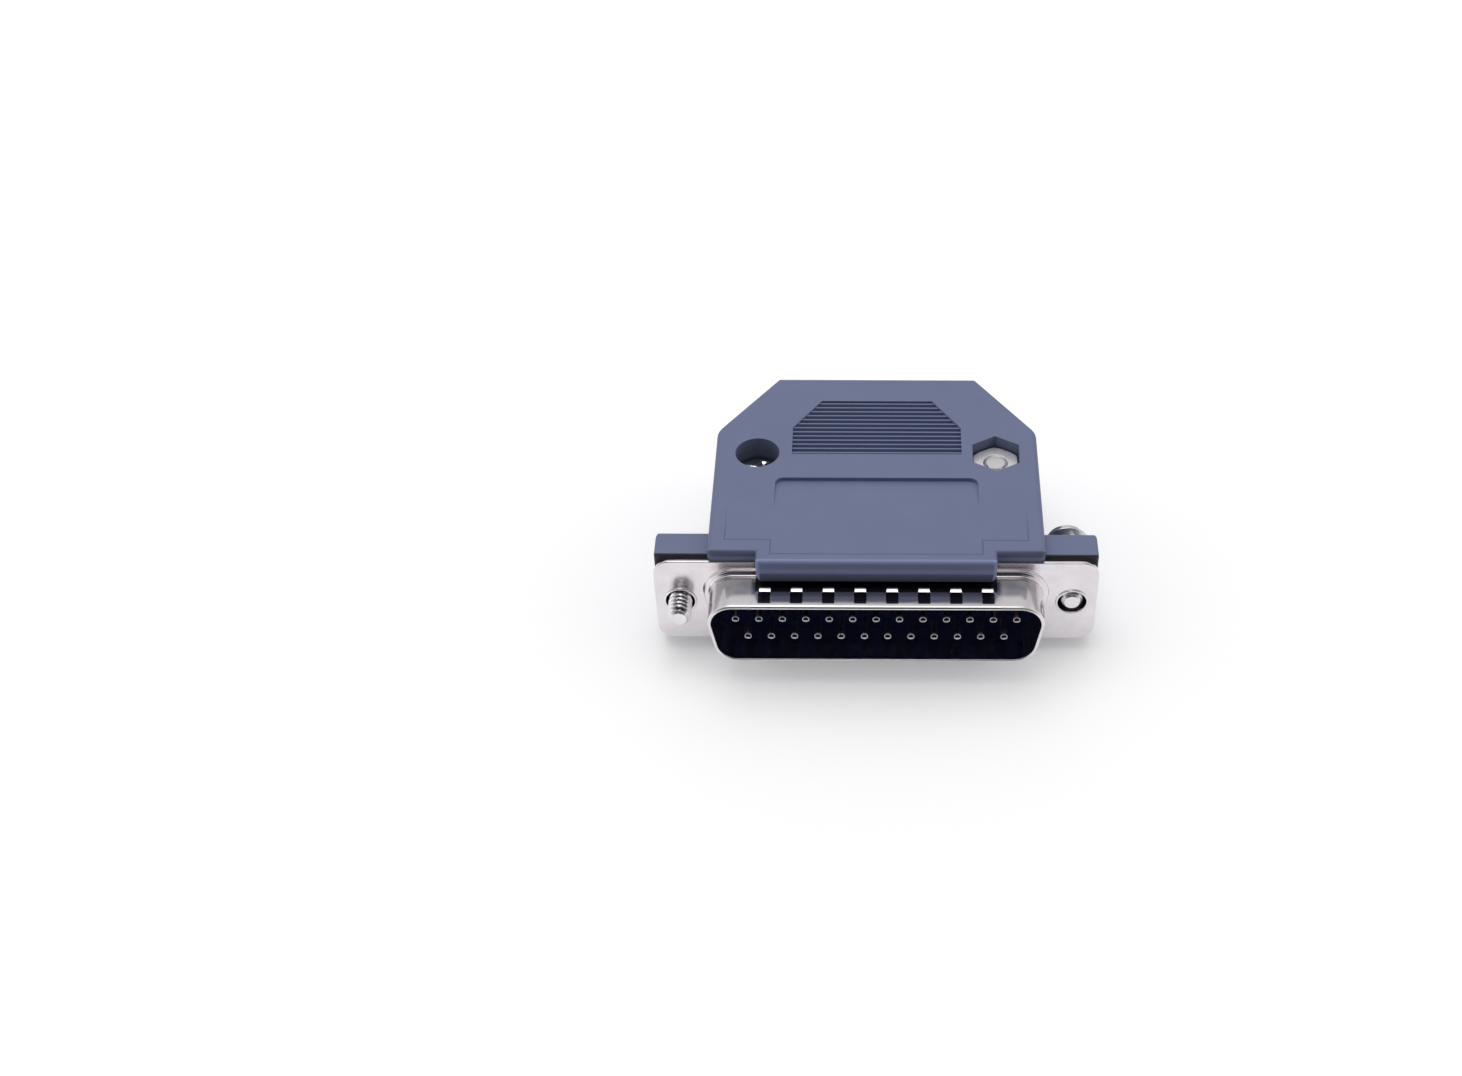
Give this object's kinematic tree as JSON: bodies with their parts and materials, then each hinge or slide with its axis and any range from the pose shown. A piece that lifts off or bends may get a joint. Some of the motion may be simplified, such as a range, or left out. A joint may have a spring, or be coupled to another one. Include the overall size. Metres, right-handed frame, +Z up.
{
  "type": "d-sub connector",
  "caption": "Hooded d-sub plug: D-shaped metal skirt round two rows of pins, two-part moulded hood with thumb grip, captive jackscrews and a cable clamp.",
  "frame": {"origin": "centre of the flange's front face, on the middle plane between the two rows of contacts", "axes": "+X along the rows, to the right of a person who looks down from the mating side; +Y back towards the cable; +Z up, with the wide row uppermost"},
  "size_m": [0.053, 0.0384, 0.0168],
  "materials": {
    "shell_plating": "bright tin plating on drawn steel",
    "eyelet_plating": "bright tin plating, rolled edge",
    "insulator_moulding": "black glass-filled moulding",
    "contact_plating": "pale plated, turned",
    "hood_moulding": "slate blue-grey moulding with a fine satin texture",
    "jackscrew_steel": "nickel plated",
    "clamp_strip_steel": "zinc plated strip",
    "fastener_steel": "nickel plated"
  },
  "bodies": {
    "root": {"front_shell": "shell_plating", "rear_shell": "shell_plating", "front_insulator": "insulator_moulding", "rear_insulator": "insulator_moulding", "contact_01": "contact_plating", "contact_02": "contact_plating", "contact_03": "contact_plating", "contact_04": "contact_plating", "contact_05": "contact_plating", "contact_06": "contact_plating", "contact_07": "contact_plating", "contact_08": "contact_plating", "contact_09": "contact_plating", "contact_10": "contact_plating", "contact_11": "contact_plating", "contact_12": "contact_plating", "contact_13": "contact_plating", "contact_14": "contact_plating", "contact_15": "contact_plating", "contact_16": "contact_plating", "contact_17": "contact_plating", "contact_18": "contact_plating", "contact_19": "contact_plating", "contact_20": "contact_plating", "contact_21": "contact_plating", "contact_22": "contact_plating", "contact_23": "contact_plating", "contact_24": "contact_plating", "contact_25": "contact_plating", "flange_eyelet_left": "eyelet_plating", "flange_eyelet_right": "eyelet_plating", "upper_hood": "hood_moulding", "lower_hood": "hood_moulding", "hood_screw_left": "fastener_steel", "hood_screw_right": "fastener_steel", "hood_nut_left": "fastener_steel", "hood_nut_right": "fastener_steel", "cable_clamp_upper": "clamp_strip_steel", "cable_clamp_lower": "clamp_strip_steel", "clamp_screw_left": "fastener_steel", "clamp_screw_right": "fastener_steel", "clamp_nut_left": "fastener_steel", "clamp_nut_right": "fastener_steel"},
    "washer_left": {"jackscrew_washer_left": "jackscrew_steel"},
    "screw_left": {"jackscrew_left": "jackscrew_steel"},
    "washer_right": {"jackscrew_washer_right": "jackscrew_steel"},
    "screw_right": {"jackscrew_right": "jackscrew_steel"}
  },
  "joints": [
    {"name": "jackscrew_left_travel", "type": "slide", "parent": "root", "child": "washer_left", "axis": [0, 1, 0], "range_m": [-0.00155, 0.0031]},
    {"name": "jackscrew_left_turn", "type": "hinge", "parent": "washer_left", "child": "screw_left", "pos_m": [-0.02352, 0, 0], "axis": [0, 1, 0], "continuous": true},
    {"name": "jackscrew_right_travel", "type": "slide", "parent": "root", "child": "washer_right", "axis": [0, 1, 0], "range_m": [-0.00465, 0]},
    {"name": "jackscrew_right_turn", "type": "hinge", "parent": "washer_right", "child": "screw_right", "pos_m": [0.02352, 0, 0], "axis": [0, 1, 0], "continuous": true}
  ]
}
